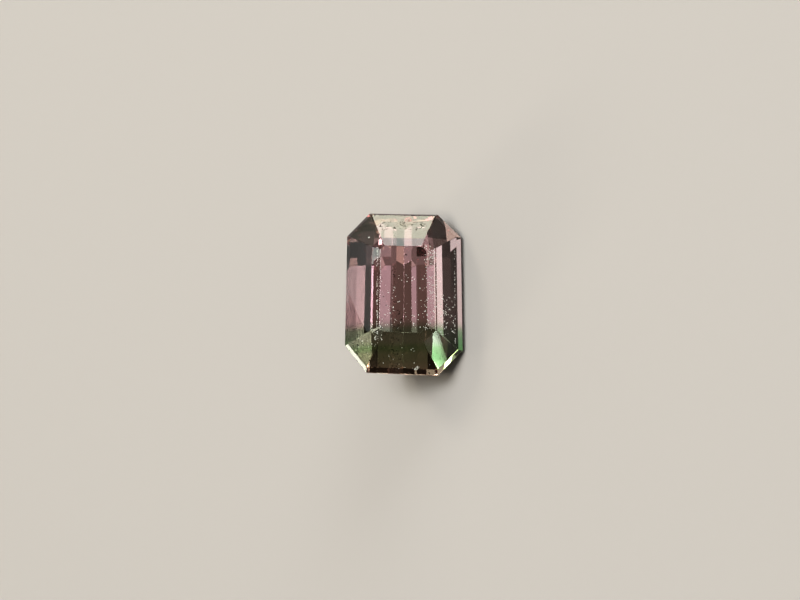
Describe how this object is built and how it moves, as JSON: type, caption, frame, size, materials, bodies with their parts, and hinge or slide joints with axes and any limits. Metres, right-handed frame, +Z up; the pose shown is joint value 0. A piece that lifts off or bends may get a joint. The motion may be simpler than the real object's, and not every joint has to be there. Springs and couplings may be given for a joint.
{
  "type": "bicolor tourmaline",
  "caption": "Emerald-cut gemstone with an octagonal outline, a stepped crown and a stepped pavilion, rose pink passing to green at one end.",
  "frame": {"origin": "on the surface that the stone lies on, under the middle of its bounding box", "axes": "+X along the stone's length towards the pink end, +Z up from the pavilion facet it lies on, with the table facing -Y and up"},
  "size_m": [0.007, 0.0038, 0.0038],
  "materials": {
    "tourmaline": "polished clear gem, rose pink passing to green at one end"
  },
  "bodies": {
    "root": {"tourmaline": "tourmaline"}
  },
  "joints": []
}
